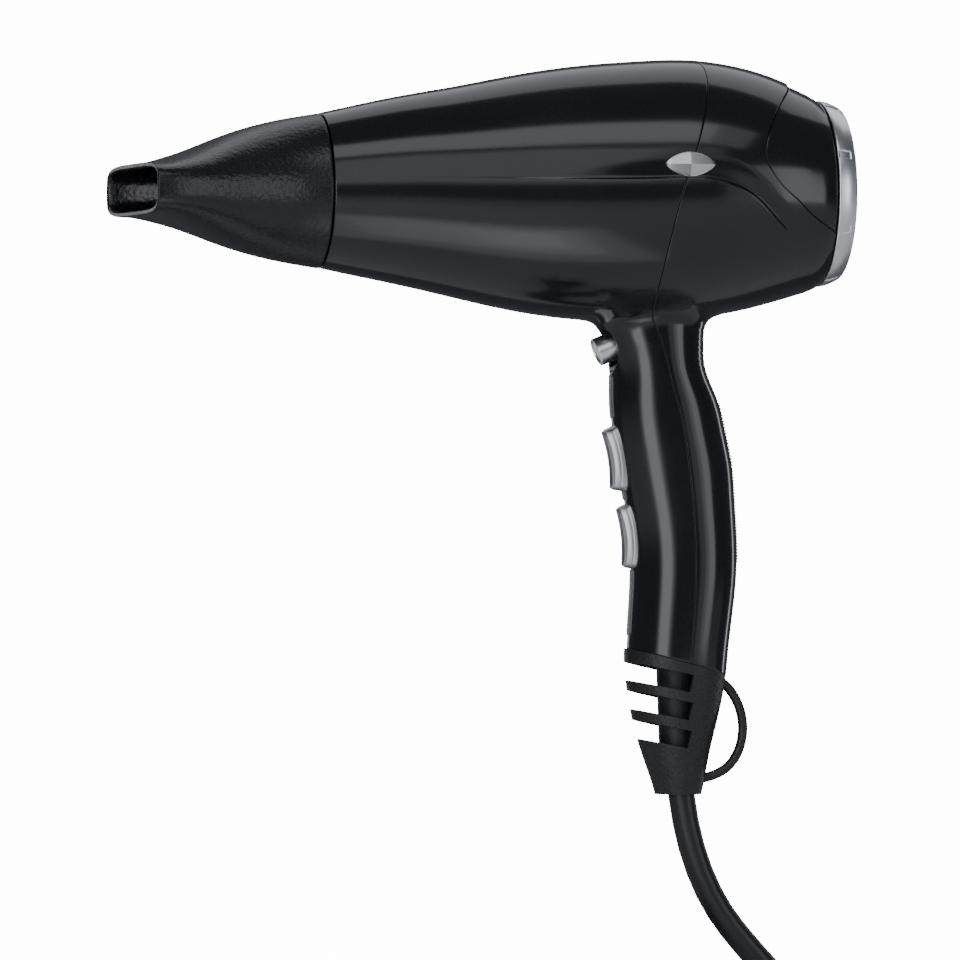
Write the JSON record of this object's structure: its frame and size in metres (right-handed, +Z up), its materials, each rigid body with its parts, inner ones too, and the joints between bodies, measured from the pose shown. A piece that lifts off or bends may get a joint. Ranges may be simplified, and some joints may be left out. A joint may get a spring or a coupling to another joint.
{
  "type": "hair dryer",
  "caption": "Hand-held hair dryer with a flat concentrator nozzle, curved handle with rocker switches and a cool button, removable rear filter ring, hanging loop and mains cord.",
  "frame": {"origin": "middle of the grip, inside the handle, 88 mm below the barrel axis", "axes": "-X towards the nozzle along the barrel, +Z up from the handle to the barrel, +Y across"},
  "size_m": [0.2356, 0.1805, 0.3013],
  "materials": {
    "gloss_black": "high gloss",
    "satin_black": "satin, fine texture",
    "panel_grey": "satin",
    "silver_paint": "satin silver",
    "ring_aluminium": "satin",
    "soft_black": "matte",
    "cord_black": "smooth, slightly shiny",
    "wire_sheath": "smooth",
    "spring_steel": "bright",
    "grille_steel": "satin",
    "switch_plastic": "matte",
    "mica": "mica sheet",
    "heater_wire": "nickel chromium wire",
    "thermostat_metal": "plain",
    "motor_steel": "zinc plated",
    "magnet": "sintered ferrite",
    "armature": "laminations and copper",
    "circuit_board": "board with diodes",
    "plug_pin_metal": "nickel plated"
  },
  "bodies": {
    "housing": {"front_housing": "gloss_black", "rear_housing": "gloss_black", "rear_cap": "gloss_black", "switch_carrier": "satin_black", "plug_body": "satin_black", "switch_panel": "panel_grey", "side_badges": "silver_paint", "grip_insert": "soft_black", "cord_boot": "soft_black", "hanging_loop": "soft_black", "strain_relief": "soft_black", "plug_relief": "soft_black", "cord_lead": "cord_black", "cord_coil": "cord_black", "cord_entry": "cord_black", "power_wires": "wire_sheath", "cold_shot_spring": "spring_steel", "housing_screw": "spring_steel", "clamp_screws": "spring_steel", "outlet_grille": "grille_steel", "speed_switch": "switch_plastic", "heat_switch": "switch_plastic", "cold_shot_switch": "switch_plastic", "cord_clamp": "switch_plastic", "fan_duct": "switch_plastic", "mica_sleeve": "mica", "mica_boards": "mica", "heater_windings": "heater_wire", "thermostat": "thermostat_metal", "thermal_fuse": "thermostat_metal", "motor_can": "motor_steel", "motor_end_cap": "motor_steel", "motor_magnets": "magnet", "rectifier_board": "circuit_board", "plug_pins": "plug_pin_metal"},
    "snap_ring": {"nozzle_snap_ring": "spring_steel"},
    "nozzle": {"nozzle_shell": "satin_black"},
    "speed_rocker": {"speed_rocker": "silver_paint"},
    "heat_rocker": {"heat_rocker": "silver_paint"},
    "speed_slider": {"speed_slider": "satin_black"},
    "heat_slider": {"heat_slider": "satin_black"},
    "cold_shot": {"cold_shot_button": "silver_paint"},
    "rotor": {"motor_shaft": "spring_steel", "motor_armature": "armature", "fan_impeller": "switch_plastic"},
    "filter": {"filter_frame": "satin_black", "filter_mesh": "grille_steel"},
    "inlet": {"inlet_ring": "ring_aluminium", "inlet_grille": "satin_black"}
  },
  "joints": [
    {"name": "nozzle_pull", "type": "slide", "parent": "housing", "child": "snap_ring", "axis": [-1, 0, 0], "range_m": [0, 0.025]},
    {"name": "nozzle_spin", "type": "hinge", "parent": "snap_ring", "child": "nozzle", "pos_m": [-0.1, 0, 0.088], "axis": [1, 0, 0], "continuous": true},
    {"name": "speed_rocker_tilt", "type": "hinge", "parent": "housing", "child": "speed_rocker", "pos_m": [-0.009, 0, 0.011], "axis": [0, 1, 0], "range_deg": [-8, 8]},
    {"name": "heat_rocker_tilt", "type": "hinge", "parent": "housing", "child": "heat_rocker", "pos_m": [-0.005, 0, -0.0122], "axis": [0, 1, 0], "range_deg": [-8, 8]},
    {"name": "speed_slider_travel", "type": "slide", "parent": "housing", "child": "speed_slider", "axis": [0, 0, 1], "range_m": [-0.00065, 0.00065]},
    {"name": "heat_slider_travel", "type": "slide", "parent": "housing", "child": "heat_slider", "axis": [0, 0, 1], "range_m": [-0.00065, 0.00065]},
    {"name": "cold_shot_press", "type": "slide", "parent": "housing", "child": "cold_shot", "axis": [0.9272, 0, 0.3746], "range_m": [0, 0.002], "stiffness_N_per_m": 900, "springref_m": -0.001, "deforming": ["cold_shot_spring"]},
    {"name": "fan_spin", "type": "hinge", "parent": "housing", "child": "rotor", "pos_m": [0, 0, 0.088], "axis": [1, 0, 0], "continuous": true},
    {"name": "filter_pull", "type": "slide", "parent": "housing", "child": "filter", "axis": [1, 0, 0], "range_m": [0, 0.015]},
    {"name": "inlet_ring_twist", "type": "hinge", "parent": "filter", "child": "inlet", "pos_m": [0.047, 0, 0.088], "axis": [1, 0, 0], "range_deg": [0, 20]}
  ],
  "couplings": [
    {"joint": "speed_slider_travel", "follows": "speed_rocker_tilt", "m_per_rad": -0.0046},
    {"joint": "heat_slider_travel", "follows": "heat_rocker_tilt", "m_per_rad": -0.0046}
  ]
}
